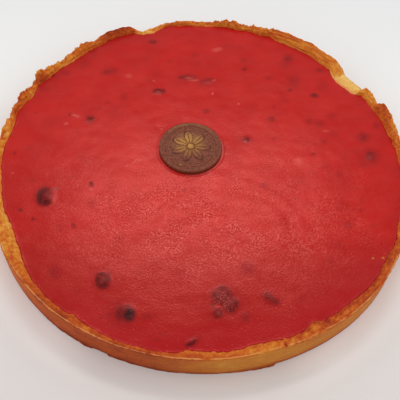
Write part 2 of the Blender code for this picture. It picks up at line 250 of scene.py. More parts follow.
angles = np.arange(RIM_TURNS) * 360.0 / RIM_TURNS
turns = np.radians(angles)
on_circle = TART_RADIUS * np.column_stack([np.cos(turns), np.sin(turns), 0.0 * turns])
torn = np.max([within(angles, start, end, TORN_FADE) for start, end in TORN_STRETCHES], axis=0)
seep = along_rim(SEEPED, angles) * MM * (1.0 + 0.6 * grain(on_circle, 4.0 * MM, offset=60.0))
calm = within(angles, 222, 281, 4) + within(angles, 309, 332, 3)  # cut clean, not torn
cleanest = within(angles, 264, 290, 4)
inner = along_rim(INNER_EDGE, angles) * MM + 0.6 * MM * grain(on_circle, 4.5 * MM, offset=3.0)
inner += (0.35 - 0.05 * calm) * MM * grain(on_circle, 1.5 * MM, offset=4.0)
inner += 0.35 * MM * within(angles, 222, 332, 6) * grain(on_circle, 2.8 * MM, offset=6.0)
out_of_round = along_rim(OUT_OF_ROUND, angles) * MM
crest = along_rim(CREST, angles) * MM
far_side = within(angles, 16, 170, 8)
outer = along_rim(OUTER_EDGE, angles) * MM + 0.3 * MM * far_side
outer += (0.15 + 0.5 * torn) * MM * grain(on_circle, CRUMB_SIZE, offset=11.0)
crest += 0.6 * MM * far_side * (1.0 - smooth_step((crest - 22.0 * MM) / (2.4 * MM)))
ragged = (0.40 + 1.3 * torn) * grain(on_circle, CRUMB_SIZE, offset=23.0)
ragged += (0.25 + 0.8 * torn - 0.10 * calm) * grain(on_circle, 1.3 * MM, offset=29.0)
ragged *= smooth_step((crest - CREAM_LEVEL) / (3.0 * MM))
top = np.maximum(crest + ragged * MM, LOWEST_RIM)

width = outer - inner
tall = smooth_step((top - TALL_CREST[0]) / (TALL_CREST[1] - TALL_CREST[0]))
foot = TART_RADIUS + FOOT_SPREAD + seep + out_of_round
lower_wall = TART_RADIUS + WALL_LEAN + out_of_round
ridge_height = top - (0.30 + 0.45 * tall) * MM
inner_top = np.maximum(top - 1.2 * MM - 0.35 * tall * (top - CREAM_LEVEL), LOWEST_RIM)
level = np.ones(RIM_TURNS)
# The section from under the floor, up the wall, over the rim and down to the floor inside, as
# (radius, height, steps to the next station)
stations = (
    (foot - UNDERSIDE_INSET, 0.0 * level, 2),
    (foot - 0.25 * MM, 0.12 * MM * level, 2),
    (foot, 0.6 * FOOT_HEIGHT * level, 2),
    (lower_wall, FOOT_HEIGHT + 0.8 * seep, 8),
    (lower_wall, WALL_TURN * level, 8),
    (np.minimum(outer + 0.15 * MM, lower_wall), top - 2.6 * MM, 5),
    (outer, top - 0.45 * MM, 4),
    (outer - 0.12 * width, top, 5),
    (outer - (0.5 - 0.2 * tall) * width, ridge_height, 7),
    (inner + 0.2 * width, inner_top, 7),
    (inner, DISH_TOP * level, 1),
    (inner - DISH_TAPER, (FLOOR_THICKNESS + DISH_CORNER) * level, 1),
    (inner - DISH_TAPER - DISH_CORNER, FLOOR_THICKNESS * level, 0),
)
radii, heights, places = [], [], []
for place, (radius, height, steps) in enumerate(stations):
    after = stations[min(place + 1, len(stations) - 1)]
    for step in range(max(steps, 1)):
        share = step / max(steps, 1)
        radii.append(radius + (after[0] - radius) * share)
        heights.append(height + (after[1] - height) * share)
        places.append(place + share)
radii, heights, places = np.array(radii), np.array(heights), np.array(places)
rounded = (places > 1.0) & (places < 10.0)  # corners are rounded from the foot to the inner face
for _ in range(3):
    for values in (radii, heights):
        between = 0.25 * values[:-2] + 0.5 * values[1:-1] + 0.25 * values[2:]
        values[1:-1] = np.where(rounded[1:-1, None], between, values[1:-1])

section = np.stack([radii * np.cos(turns), radii * np.sin(turns), heights], axis=2)
flat = section.reshape(-1, 3)
across = np.gradient(np.stack([radii, heights], axis=2), axis=0)
lean = np.stack([across[..., 1], -across[..., 0]], axis=2)
lean /= np.linalg.norm(lean, axis=2, keepdims=True) + 1e-12
outward = np.stack(
    [lean[..., 0] * np.cos(turns), lean[..., 0] * np.sin(turns), lean[..., 1]], axis=2
)

# Crumbs stand out where the rim was torn; the wall is nearly smooth, as the ring pressed it
on_rim = smooth_step((places - 5.2) / 0.8) * smooth_step((9.9 - places) / 0.6)
on_wall = smooth_step((places - 2.0) / 1.0) * (1.0 - on_rim)
lumps = 0.55 * crumbs(flat, 2.6 * MM) + 0.3 * crumbs(flat, 1.3 * MM, 7.0)
lumps += 0.5 * grain(flat, 1.8 * MM, offset=17.0) + 0.5 * crumbs(flat, 5.0 * MM, 2.0)
lumps = (lumps - lumps.mean()).reshape(radii.shape)
streaks = grain(flat * (1.0, 1.0, 10.0), 8.0 * MM, offset=91.0).reshape(radii.shape)  # thin layers
broken = within(angles, 34.2, 41.4, 0.7)  # snapped off, so its pale inside shows
pressed = within(angles, 46.5, 68.0, 3.0) * (1.0 - broken)  # folded up in one smooth piece
swell = grain(flat, 9.0 * MM, offset=5.0).reshape(radii.shape)
roughness = 0.75 + 0.40 * torn - 0.5 * broken - 0.4 * pressed - 0.25 * calm
roughness -= 0.30 * within(angles, 115, 125, 2) + 0.15 * cleanest  # pieces that held together
sleek = smooth_step((places - 7.8) / 0.8)[:, None]  # the knife drew the inner face smooth
roughness = roughness * (1.0 - 0.40 * far_side * sleek)
roughness = on_rim[:, None] * roughness + 0.05 * on_wall[:, None]
shift = MM * (roughness * lumps + 0.22 * on_wall[:, None] * swell)
shift += (0.10 + 0.25 * pressed + 0.12 * far_side * sleek) * MM * on_rim[:, None] * streaks
shift *= np.where(places < 1.5, 0.0, 1.0)[:, None]
case_points = (section + outward * shift[..., None]).reshape(-1, 3)

under, inside = len(case_points), len(case_points) + 1
rings = np.arange(under).reshape(-1, RIM_TURNS).tolist()
faces = faces_between(rings)
faces += faces_to_middle(rings[0][::-1], under) + faces_to_middle(rings[-1], inside)
case_points = np.vstack([case_points, (0.0, 0.0, 0.0), (0.0, 0.0, FLOOR_THICKNESS)])
case = mesh_object("baked_pastry_case", case_points, faces)

# Browning: the crest browns most, the face inside it stays paler, the foot is dark
crest_tone, face_tone = along_rim(BROWNING, angles), along_rim(BROWNING, angles, 2)
wall_tone = along_rim(WALL_BROWNING, angles) + 0.08 * grain(on_circle, 30 * MM)
at_crest = bell(places - 7.2, 1.0)[:, None]
at_face = smooth_step((places - 7.4) / 1.2)[:, None]
tone = wall_tone * (1.0 - at_face) + face_tone * at_face
tone += (crest_tone - tone) * at_crest
tone += 0.12 * (1.0 - smooth_step((places - 2.8) / 0.8))[:, None]
based = 0.12 + 0.16 * within(angles, 276, 308, 10)
tone += based * (1.0 - smooth_step((places - 2.9) / 0.5))[:, None]
scorched = smooth_step((grain(flat, 1.9 * MM, offset=83.0) - 0.10) / 0.25).reshape(radii.shape)
tone += 0.26 * scorched * (1.0 - smooth_step((places - 2.7) / 0.6))[:, None]  # crumbs on the foot
tone += 0.10 * bell(places - 5.9, 0.35)[:, None]
# Painted light and shade: the tops of the crumbs on the rim are painted paler and the hollows
# between them darker.
painted_crumb_light = 0.24 - 0.16 * pressed - 0.05 * calm - 0.10 * cleanest - 0.08 * far_side * sleek
tone -= painted_crumb_light * on_rim[:, None] * lumps
tone += (0.05 + 0.16 * pressed + 0.10 * far_side * sleek) * on_rim[:, None] * streaks
tone += on_wall[:, None] * (0.03 + 0.10 * streaks)
# The wall is a little paler at mid height across its front and front right.
mid_wall_band = within(angles, 262, 330, 15) * bell(heights - 11 * MM, 3.5 * MM)
tone -= 0.04 * mid_wall_band
# Painted light: on the far side the face is painted paler just above the cream, where it would lie
# in shade, most of all from 128 to 168 degrees and on the fold.
painted_light_by_cream = at_face * bell(heights - CREAM_LEVEL, 1.0 * MM)
folded = within(angles, 44, 68, 3)
painted_light = within(angles, 128, 168, 4) + 1.1 * folded
tone -= (0.04 + 0.14 * painted_light) * far_side * painted_light_by_cream
pale = 0.12 - 0.03 * at_crest + 0.12 * streaks
tone += (pale - tone) * broken * smooth_step((places - 6.2) / 0.4)[:, None]
lip = bell(places - 6.7, 0.28)[:, None] * (1.0 - 0.8 * torn)
unbroken = within(angles, 228, 288, 6)
lip *= 1.0 - within(angles, 292.6, 293.2, 0.4)
lip = lip * smooth_step(0.55 + 0.5 * unbroken + 1.3 * grain(on_circle, 6 * MM, offset=71.0))
soaked = at_face * bell(heights - CREAM_LEVEL, 0.6 * MM) * (1.0 - 0.5 * folded)
ringed = on_wall[:, None] * (0.15 + 0.85 * within(angles, 272, 330, 20))
for name, values, middles in (  # the middle points, under the floor and inside, come last
    ("browning", tone, (0.55, 0.5)), ("lip", lip, (0.0, 0.0)), ("soaked", soaked, (0.0, 0.0)),
    ("ringed", ringed, (0.0, 0.0)),
):
    paint(case, name, np.append(values, middles))

# Baked shortcrust: dry, butter-rich dough, matt and finely sandy, golden where it is thin or
# sheltered and brown where it stood out in the oven. Its colour also holds painted light and shade:
# paler crumb tops, darker hollows between them and a paler strip just above the cream.
shortcrust, shader = new_material("baked_shortcrust")
place = add_node(shortcrust, "TexCoord").outputs["Object"]
browning = add_node(shortcrust, "Attribute", {"attribute_name": "browning"})
blotches = add_node(  # uneven heat, 7 mm across
    shortcrust, "TexNoise", inputs={"Vector": place, "Scale": 1 / (7 * MM), "Detail": 3.0}
)
sand = add_node(  # coarse flour and sugar, drawn at 1 mm so that it shows
    shortcrust, "TexNoise", inputs={"Vector": place, "Scale": 1 / (1 * MM), "Detail": 4.0}
)
mottle = -0.08
for part, share in ((browning, 0.75), (blotches, 0.21), (sand, 0.34)):
    mottle = add_node(
        shortcrust, "Math", {"operation": "MULTIPLY_ADD"},
        {0: part.outputs["Fac"], 1: share, 2: mottle},
    ).outputs[0]
baked = add_node(
    shortcrust, "ValToRGB", inputs={"Fac": mottle},
    stops=(
        (0.19, linear("#F0CE78")), (0.34, linear("#E2A44E")), (0.47, linear("#D6862C")),
        (0.59, linear("#C9671F")), (0.69, linear("#B84E18")), (0.80, linear("#A03A14")),
        (0.94, linear("#822A10")),
    ),
).outputs["Color"]
pits = add_node(
    shortcrust, "TexVoronoi", inputs={"Vector": place, "Scale": 1 / (0.9 * MM)}
)
relief = add_node(
    shortcrust, "Math", {"operation": "ADD"},
    {0: sand.outputs["Fac"], 1: pits.outputs["Distance"]},
)
bump = add_node(
    shortcrust, "Bump",
    inputs={"Height": relief.outputs[0], "Distance": 0.25 * MM, "Strength": 0.7},
)
for name, most, tint in (
    ("ringed", 0.30, "#A0702E"),  # against the ring the dough browned less red
    ("soaked", 0.45, "#D8502E"),  # the cream wets it where they meet
    ("lip", 1.0, "#DD9A58"),  # the sharp outer edge is paler
):
    there = add_node(shortcrust, "Attribute", {"attribute_name": name})
    there = add_node(
        shortcrust, "Math", {"operation": "MULTIPLY"}, {0: there.outputs["Fac"], 1: most}
    )
    baked = add_node(
        shortcrust, "Mix", {"data_type": "RGBA"}, {0: there.outputs[0], 6: baked, 7: linear(tint)}
    ).outputs[2]
shortcrust.node_tree.links.new(baked, shader.inputs["Base Color"])
shortcrust.node_tree.links.new(bump.outputs["Normal"], shader.inputs["Normal"])
shader.inputs["Roughness"].default_value = 0.7
shader.inputs["Specular IOR Level"].default_value = 0.15
case.data.materials.append(shortcrust)
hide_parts("pastry_case")
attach(case, "root")

# --------------------------------------------------------------------------------------------
# The praline cream: cream cooked with crushed red sugared nuts, poured into the case and left to
# set level. Its skin is satin, and the nuts show through it as dark soft-edged spots.

CREAM_STEPS = 300  # squares along each side of the grid that is bent into the round skin
DISH_GAP = 0.1 * MM  # keeps the cream's faces off the dish's
LADLE_CENTRE = (12 * MM, -62 * MM)
LADLE_STEP = 13 * MM  # from one ring that the ladle left to the next
LADLE_HEIGHT = 0.10 * MM
DISC_CENTRE = (-7.7 * MM, 10.4 * MM)
DISC_RADIUS = 20.0 * MM
# Nuts that lift the skin: x, y, half length, half width, turn and rise, in millimetres and degrees
NUTS = (
    (-93.3, -31.5, 6.8, 5.6, 106, 1.25), (-51.2, -86.0, 5.2, 4.6, 100, 0.65),
    (-36.6, -104.0, 6.0, 4.8, 0, 0.30), (15.7, -90.8, 6.2, 5.8, 12, 0.50),
    (21.0, -96.0, 5.0, 4.8, 0, 0.45), (13.0, -100.6, 4.0, 3.8, 0, 0.25),
    (42.5, -91.0, 5.6, 3.2, -35, 0.25), (0.2, -119.0, 4.2, 2.4, 35, 0.20),
    (-32.0, 58.8, 4.2, 3.0, 0, 0.28), (-11.5, 73.6, 6.0, 2.6, -5, 0.14),
    (1.8, 71.2, 4.6, 2.6, 10, 0.14), (-74.5, 30.8, 3.2, 3.0, 40, 0.16),
    (28.0, 21.8, 3.2, 2.6, 10, 0.18), (107.5, 13.8, 4.4, 4.0, 0, 0.35),
    (-40.0, 107.3, 3.4, 2.4, 0, 0.12),
)
# What shows in the skin and the highlights painted on the nuts, from the deepest layer up, as
# (colour, softness, its spots), where a spot is x, y, half length, half width, turn and strength,
# in millimetres and degrees
STAINS_AND_HIGHLIGHTS = (
    ("#7E1A1E", 1.5, (  # faint: nuts that lie deep
        (-93.3, -32.5, 8.1, 6.5, 111, 0.3), (-37.9, -104.9, 7.2, 6.9, 136, 0.5),
        (17.3, -94.7, 9.7, 9.3, 67, 0.35), (-51.1, -86, 6.9, 5.5, 104, 0.25),
        (-45, -106.6, 1.9, 1.8, 128, 0.5), (-24.5, -105.9, 3.2, 2.1, 2, 0.42),
        (-49.3, -107.9, 1.6, 1.4, 173, 0.3), (-79, -82.5, 4.0, 3.2, 108, 0.46),
        (-64.5, -93.4, 1.7, 1.5, 151, 0.22), (28.7, -102.9, 3, 2.7, 75, 0.62),
        (29.5, -72.7, 4.7, 4.4, 42, 0.5), (28.6, -68.5, 2, 0.8, 5, 0.35),
        (38.3, -89.1, 2.2, 1.6, 8, 0.36), (42.1, -90.7, 5.5, 3.7, 142, 0.42),
        (0.2, -119.1, 4.9, 3, 35, 0.35), (-12, 73.1, 8.3, 3.8, 179, 0.3),
        (-0.2, 70.3, 7, 3.9, 19, 0.34), (-74.3, 30.1, 5.2, 4.5, 109, 0.3),
        (27.6, 20.6, 4.6, 4.1, 21, 0.25), (107.6, 13.6, 6.5, 5.4, 53, 0.55),
        (104, 8.1, 4.3, 3.6, 53, 0.36), (99.1, 16.6, 3.4, 2.5, 73, 0.22),
        (104, 28.6, 4.4, 3.5, 67, 0.6), (84.5, 30.2, 3.4, 2.9, 32, 0.28),
        (-97, 70.9, 3.2, 2.8, 167, 0.4), (-67, 74.9, 5.5, 2.9, 20, 0.5),
        (-27, 87.9, 2.4, 2.2, 7, 0.3), (-8.8, 95.8, 2.6, 1.8, 7, 0.34),
        (-19.2, 116.2, 2.5, 1.5, 6, 0.25), (-85.6, 80.2, 3.6, 3.4, 134, 0.22),
        (-80.4, 91.8, 5, 2.4, 99, 0.18), (-108, 55.3, 3.4, 2.2, 1, 0.34),
        (-98.3, 27.3, 5.2, 4.2, 174, 0.2), (-55, 51.8, 3.6, 2.3, 98, 0.34),
        (-59.7, 37.3, 4.4, 3.3, 100, 0.2), (24.7, 93.6, 1.9, 1.7, 36, 0.34),
        (56.6, 97.7, 4.3, 3.5, 75, 0.52), (54.9, 92.7, 5, 4.2, 74, 0.34),
        (42.2, 77.2, 3.2, 1.7, 7, 0.46), (60.3, 75.7, 5.8, 4.8, 74, 0.42),
        (79, 88.3, 3.3, 2.3, 13, 0.46), (80.2, 73.3, 4.9, 4, 67, 0.28),
        (51.7, 57.8, 3.7, 2.7, 82, 0.24), (46.3, 51, 2.3, 1.7, 83, 0.25),
        (69.4, 40.1, 2.7, 2.3, 64, 0.52), (76, 38.7, 4, 3.1, 15, 0.46),
        (84.4, 46.3, 2.8, 2.2, 22, 0.4), (102.1, 45.7, 1.6, 1.3, 68, 0.25),
        (114, 40.4, 3, 2.1, 75, 0.46), (105, 31.7, 3.3, 2.2, 12, 0.4),
        (95.7, 69.2, 2.5, 2, 68, 0.25), (-64.7, -34.8, 3.6, 2.4, 101, 0.34),
        (-81, -55, 2.8, 2.3, 111, 0.22), (-102.7, -20.5, 2.1, 1.4, 179, 0.45),
        (-113, -3, 1.6, 1.2, 111, 0.22), (39.3, -14.4, 2.8, 2.6, 47, 0.46),
        (46, 23, 1.6, 1.3, 17, 0.4), (78.5, 23.7, 2, 1.8, 33, 0.4), (78.2, 2.8, 2.6, 2.3, 32, 0.22),
        (86.5, -2.2, 2.6, 2, 17, 0.28), (98.8, -20.8, 2.6, 1.2, 82, 0.4),
        (89.5, -39.6, 3.1, 2.7, 34, 0.38), (82.3, -53.9, 3.1, 2.6, 30, 0.25),
        (59.9, -58.8, 2.7, 2.3, 73, 0.2), (59.3, -90.8, 2.8, 2.4, 20, 0.22),
        (76.9, -65.6, 4, 2.3, 83, 0.22), (-21.5, -72.2, 3.4, 2.6, 3, 0.18),
        (-31.7, -79.3, 2.2, 1.9, 179, 0.2), (-8.7, -76.5, 3.4, 3.2, 5, 0.18),
        (-45.8, -59.3, 3.4, 2.9, 104, 0.16), (-73.1, -2.8, 2.5, 2.3, 159, 0.16),
        (61.6, -8.4, 3.3, 2.9, 42, 0.16), (30, 47, 3.6, 3.3, 67, 0.14),
        (85.4, -25.5, 3.8, 3, 71, 0.18), (16.3, 10.3, 1.3, 1.2, 25, 0.2),
    )),
    ("#641A1C", 0.9, (  # nuts just under the skin
        (-93.4, -32.2, 6.2, 4.4, 106, 0.95), (-51.1, -86, 4.8, 3.7, 102, 0.88),
        (-39, -104.9, 4.1, 3, 100, 0.75), (-37.1, -101.4, 3.3, 1.5, 3, 0.65),
        (-34.7, -105.1, 4.5, 3.4, 100, 0.85), (15.7, -90.8, 5.7, 5.3, 12, 0.94),
        (15.9, -93.9, 4.1, 3.6, 10, 0.72), (12.1, -97.5, 3, 2.7, 84, 0.55),
        (20.1, -96, 4.8, 4.2, 84, 0.92), (13.6, -100.9, 3.3, 2.9, 86, 0.72),
        (41.1, -89.6, 3.1, 2.1, 135, 0.74), (44.2, -91.9, 3.4, 2.1, 149, 0.62),
        (0.5, -119.5, 3.5, 1.4, 36, 0.8), (-31.9, 58.3, 4.1, 2.7, 1, 0.68),
        (-13, 73.4, 5.9, 2.7, 179, 0.44), (0.2, 71.4, 4.9, 2.6, 21, 0.28),
        (-74.3, 30.3, 3.1, 2.5, 104, 0.66), (27.6, 20.9, 2.7, 2.3, 1, 0.8),
        (107.5, 13.9, 3.1, 2.6, 51, 0.42), (-40.4, 106.4, 3.3, 2.2, 5, 0.62),
        (-66.5, -21.3, 2.3, 1.4, 100, 0.78), (-72.8, -51.4, 2, 1.6, 109, 0.52),
        (-105.6, -42.7, 1.7, 1.4, 114, 0.62), (-97.2, -48.2, 1.4, 1.2, 117, 0.64),
        (-117.9, -0.6, 1.3, 1, 114, 0.58), (-110.7, 33.4, 1, 0.9, 146, 0.5),
        (-88.3, 33.9, 1.9, 1.2, 101, 0.55), (-65.4, 45.8, 1.3, 0.9, 2, 0.42),
        (-69.4, 74.1, 1.8, 1.3, 2, 0.42), (26, 84.6, 1.8, 1.6, 21, 0.6),
        (57.1, 67.4, 1.8, 1.4, 14, 0.6), (73.8, 63.7, 3.1, 2.3, 14, 0.68),
        (56.6, 97.7, 1.9, 1.7, 40, 0.35), (1, 43.5, 2.5, 2.1, 9, 0.5),
        (44.3, 40, 2.7, 2.3, 69, 0.48), (70.6, 12.5, 1.4, 1.1, 16, 0.62),
        (-9.7, -21.2, 1.4, 1.2, 92, 0.52), (104, 28.6, 1.9, 1.5, 67, 0.35),
        (98, -28.2, 1.1, 0.7, 78, 0.45), (39.7, -93.7, 0.8, 0.7, 16, 0.5),
        (79, 88.3, 1.4, 1.1, 19, 0.35), (-79, -82.5, 1, 0.9, 116, 0.3),
    )),
    ("#4A1216", 1.0, (  # their dark skins
        (-96, -33, 5.1, 1.8, 98, 0.86), (-91.5, -37.1, 3.2, 1.9, 13, 0.78),
        (-93.7, -27, 3, 1.5, 11, 0.5), (-54.4, -86.5, 3.5, 0.9, 98, 0.72),
        (-52.2, -82, 3, 1.3, 10, 0.66), (-48.4, -83.6, 3.1, 1.5, 90, 0.66),
        (-50.1, -89.3, 3, 1.6, 2, 0.56), (14.8, -86.2, 3.9, 0.6, 8, 0.75),
        (10.9, -90.3, 2, 0.8, 92, 0.6), (23.6, -95.2, 3, 0.9, 91, 0.62),
        (20.9, -99.9, 2.2, 0.9, 17, 0.62), (17.8, -92, 1.7, 0.7, 161, 0.4),
        (12.8, -93.2, 1.7, 0.8, 16, 0.4), (13.5, -104.1, 2, 0.6, 4, 0.45),
        (40.2, -88.2, 1.6, 0.6, 72, 0.5), (41.9, -89.7, 1.6, 0.5, 76, 0.45),
        (43.8, -90.9, 1.5, 0.5, 76, 0.45), (45.8, -92.5, 1.4, 0.5, 75, 0.4),
        (-1.4, -120.8, 1.5, 0.7, 25, 0.72), (1.2, -119.4, 1.8, 0.7, 35, 0.5),
        (-31.9, 60.3, 3.3, 1, 5, 0.7), (-28.6, 59.6, 1.3, 1.2, 93, 0.5),
        (-35.4, 58.6, 1.2, 1.2, 176, 0.5), (-17.2, 73, 2.3, 1.3, 5, 0.55),
        (1.9, 72.7, 3.3, 1, 22, 0.2), (-74.1, 31, 1.3, 1.2, 112, 0.62),
        (-72.5, 31.8, 1.2, 0.7, 27, 0.5), (-75.9, 32.2, 1.8, 0.6, 119, 0.45),
        (29.0, 21.2, 1.4, 1.2, 78, 0.9), (107.5, 16.5, 2.3, 0.8, 6, 0.38),
        (-39.7, 105.9, 1.2, 0.9, 5, 0.25), (-66.5, -20.4, 1.1, 0.8, 101, 0.5),
        (-105.7, -43, 0.9, 0.7, 114, 0.5), (74, 64, 1.4, 1, 13, 0.45),
    )),
    ("#241A1E", 1.0, (  # one that shows nearly black
        (-34.5, -105.2, 4, 2.8, 99, 0.95), (-33.9, -105.5, 1.8, 1.3, 99, 0.7),
    )),
    ("#8E3C3C", 1.0, (  # painted highlights on the nut skins
        (-91.1, -30.8, 3.2, 1.9, 97, 0.24), (-88.8, -26.5, 2.6, 1.5, 43, 0.5),
        (-51, -86, 1.6, 1.2, 102, 0.16), (16.2, -92.4, 3.8, 2.8, 160, 0.28),
        (12.4, -88.6, 1.7, 1, 160, 0.32), (20.3, -95.7, 2.1, 1.6, 87, 0.2),
        (14, -101.9, 1.2, 1, 8, 0.6), (1.3, -117.7, 2, 0.5, 35, 0.36),
        (-32, 57.8, 1.5, 0.8, 5, 0.4), (-33.8, 57.3, 0.7, 0.6, 2, 0.35),
        (-0.5, 69.7, 2.8, 1.1, 14, 0.34), (107.1, 12.7, 1.8, 1.4, 68, 0.45),
        (42.7, -90.2, 1.4, 0.5, 144, 0.16), (27.7, 19, 1.9, 0.8, 5, 0.3),
        (89.5, -39.6, 1.5, 1.2, 69, 0.3), (-9.4, -21.7, 0.7, 0.6, 92, 0.4),
    )),
    ("#DE6A62", 1.0, (  # sugar and scraps of pale nut, and painted highlights on the nuts
        (-86.5, -31.2, 5.1, 1.8, 100, 0.09), (-12.3, 73.1, 2.6, 0.9, 179, 0.28),
        (-10, 70.8, 4.1, 0.7, 179, 0.2), (4.9, 72.3, 1.4, 0.7, 5, 0.35),
        (-7.7, 71.3, 2.1, 0.7, 5, 0.3), (4.7, 59.7, 1.2, 0.7, 91, 0.75),
        (22.3, 51.8, 1, 0.9, 17, 0.62), (-84.4, 33, 2.6, 0.9, 167, 0.42),
        (-89.6, 25.8, 1.1, 1.1, 138, 0.45), (-75.8, 28.4, 0.8, 0.6, 179, 0.25),
        (25.8, 22.3, 0.7, 0.6, 11, 0.35), (26.8, 19.3, 1, 0.6, 6, 0.3),
        (6, 102.8, 3.7, 1.8, 22, 0.32), (-53.5, 71.6, 2.3, 1.9, 2, 0.22),
        (-36.3, 68.3, 1.4, 0.7, 168, 0.52), (-29.6, 28.7, 2.1, 0.7, 164, 0.4),
        (-41.9, -1.6, 2.6, 0.6, 47, 0.55), (-39.1, -0.8, 1.4, 0.6, 49, 0.35),
        (-46.5, -5.3, 1.6, 0.6, 54, 0.32), (-56.7, -29.9, 0.7, 0.7, 170, 0.45),
        (-57.7, -51.9, 0.8, 0.7, 169, 0.6), (-49.6, -52.3, 0.7, 0.7, 149, 0.4),
        (-115.7, -16, 0.9, 0.7, 162, 0.35), (61.2, 6.1, 3.2, 2.5, 78, 0.3),
        (-66.3, -24.9, 1.1, 1, 171, 0.42), (79.9, 32.6, 2, 1, 7, 0.25),
        (-27.1, 25.8, 0.8, 0.8, 95, 0.42), (-26.3, 28.7, 1.4, 0.6, 4, 0.3),
        (-31.8, 58.2, 0.6, 0.5, 95, 0.35), (-51.7, -87.2, 0.6, 0.5, 110, 0.14),
        (-5.5, -32.7, 1.5, 0.7, 147, 0.3), (-1.8, -46, 0.8, 0.7, 6, 0.4),
        (55.8, -39.1, 1, 0.6, 85, 0.5), (47.2, -50.2, 1.7, 0.6, 88, 0.4),
        (14.1, -54.5, 0.7, 0.7, 28, 0.5), (7.5, -88.9, 0.6, 0.6, 87, 0.25),
        (19.4, -92.3, 0.7, 0.4, 5, 0.3), (15.4, -88.6, 1.7, 0.4, 178, 0.3),
    )),
    ("#4E4A44", 1.0, (  # grey glints
        (-33.8, -103.3, 0.8, 0.6, 100, 0.45), (-32.8, -106.3, 1.1, 0.5, 97, 0.45),
        (-34.8, -107, 0.5, 0.5, 109, 0.3), (-86.8, -26.1, 1.2, 1, 41, 0.25),
        (14.4, -102.2, 0.7, 0.5, 6, 0.4),
    )),
    ("#CC1812", 0.9, (  # drops of red sugar
        (13.1, -97.9, 0.7, 0.7, 54, 0.85), (-53.1, -83.7, 0.7, 0.6, 104, 0.45),
    )),
    ("#E08A3A", 0.8, (  # crumbs of the crust
        (102, -61.4, 0.8, 0.7, 28, 1), (108, -60.6, 0.8, 0.7, 39, 0.9),
    )),
)
DULL_STAINS = 4  # the first of them also dull the skin


def place_in(row, x, y):
    """How far the points are from the middle of an oval (x, y, half length, half width, turn):
    1 on its outline."""
    turn = math.radians(row[4])
    along = (x / MM - row[0]) * math.cos(turn) + (y / MM - row[1]) * math.sin(turn)
    aside = (y / MM - row[1]) * math.cos(turn) - (x / MM - row[0]) * math.sin(turn)
    return np.hypot(along / row[2], aside / row[3])


def cream_height(x, y):
    """The skin of the cream: nearly level, a little domed, and lifted where a nut lies under it."""
    dome = CREAM_DOME * (1.0 - (x * x + y * y) / TART_RADIUS**2)
    lift = [nut[5] * MM * (1.0 - smooth_step(place_in(nut, x, y) / 1.35)) for nut in NUTS]
    return CREAM_LEVEL + dome + np.max(lift, axis=0)


steps = np.linspace(-1.0, 1.0, CREAM_STEPS + 1)
side, up = np.meshgrid(steps, steps)
wide = np.abs(side) > np.abs(up)
safe_side, safe_up = np.where(side == 0.0, 1.0, side), np.where(up == 0.0, 1.0, up)
reach = np.where(wide, side, up)
bend = np.where(wide, 0.25 * np.pi * up / safe_side, 0.5 * np.pi - 0.25 * np.pi * side / safe_up)
round_x, round_y = (reach * np.cos(bend)).ravel(), (reach * np.sin(bend)).ravel()
out = np.hypot(round_x, round_y)
bearing = np.degrees(np.arctan2(round_y, round_x)) % 360.0
inner_here = np.interp(bearing, angles, inner, period=360.0)
edge = inner_here + 0.45 * MM  # it set against the crust, a little way into its crumbs
scale = TART_RADIUS + (edge - TART_RADIUS) * out**6
skin_x, skin_y = round_x * scale, round_y * scale
to_edge = edge - out * scale
skin = np.column_stack([skin_x, skin_y, 0.0 * skin_x])
skin_z = cream_height(skin_x, skin_y)
skin_z += 0.20 * MM * grain(skin, 24 * MM, offset=41.0)
skin_z += 0.05 * MM * grain(skin, 6 * MM, offset=43.0)
skin_z += 0.10 * MM * bell(to_edge, 1.0 * MM)
# A ladle was turned in it as it set
sweep = np.hypot(skin_x - LADLE_CENTRE[0], skin_y - LADLE_CENTRE[1])
sweep += 7 * MM * grain(skin, 30 * MM, offset=61.0)
swept = smooth_step((sweep - 14 * MM) / (10 * MM)) * smooth_step((64 * MM - sweep) / (12 * MM))
swept = swept * smooth_step(1.4 * grain(skin, 26 * MM, offset=67.0) + 0.60)
swept = swept * smooth_step((skin_y + 74 * MM) / (24 * MM))
skin_z += LADLE_HEIGHT * swept * np.cos(2.0 * math.pi * (sweep - 27 * MM) / LADLE_STEP)
# The disc pushed up a low ridge
disc_x, disc_y = skin_x - DISC_CENTRE[0], skin_y - DISC_CENTRE[1]
from_disc = np.hypot(disc_x, disc_y) - DISC_RADIUS
around = np.degrees(np.arctan2(disc_y, disc_x)) % 360.0
ridge = bell(from_disc - 0.6 * MM, 0.8 * MM)
skin_z += (0.15 + 0.27 * within(around, 215, 375, 30)) * MM * ridge
skin = np.column_stack([skin_x, skin_y, skin_z])

size = CREAM_STEPS + 1
grid = np.arange(size * size).reshape(size, size)
corners = (grid[:-1, :-1], grid[:-1, 1:], grid[1:, 1:], grid[1:, :-1])
faces = np.stack(corners, axis=2).reshape(-1, 4).tolist()
border = [grid[0, :-1], grid[:-1, -1], grid[-1, :0:-1], grid[:0:-1, 0]]
border = np.concatenate(border).tolist()
count, turn = len(border), np.radians(bearing[border])
cream_points, rings = skin, [border]
for offset, height in (
    (0.05 * MM, DISH_TOP),
    (DISH_TAPER + DISH_GAP, FLOOR_THICKNESS + DISH_CORNER),
    (DISH_TAPER + DISH_CORNER + DISH_GAP, FLOOR_THICKNESS + DISH_GAP),
):
    radius = edge[border] - offset
    round_side = [radius * np.cos(turn), radius * np.sin(turn), 0 * turn + height]
    rings.append(list(range(len(cream_points), len(cream_points) + count)))
    cream_points = np.vstack([cream_points, np.column_stack(round_side)])
faces += faces_between(rings[::-1]) + faces_to_middle(rings[-1][::-1], len(cream_points))
cream_points = np.vstack([cream_points, (0.0, 0.0, FLOOR_THICKNESS + DISH_GAP)])
cream = mesh_object("set_praline_cream", cream_points, faces)

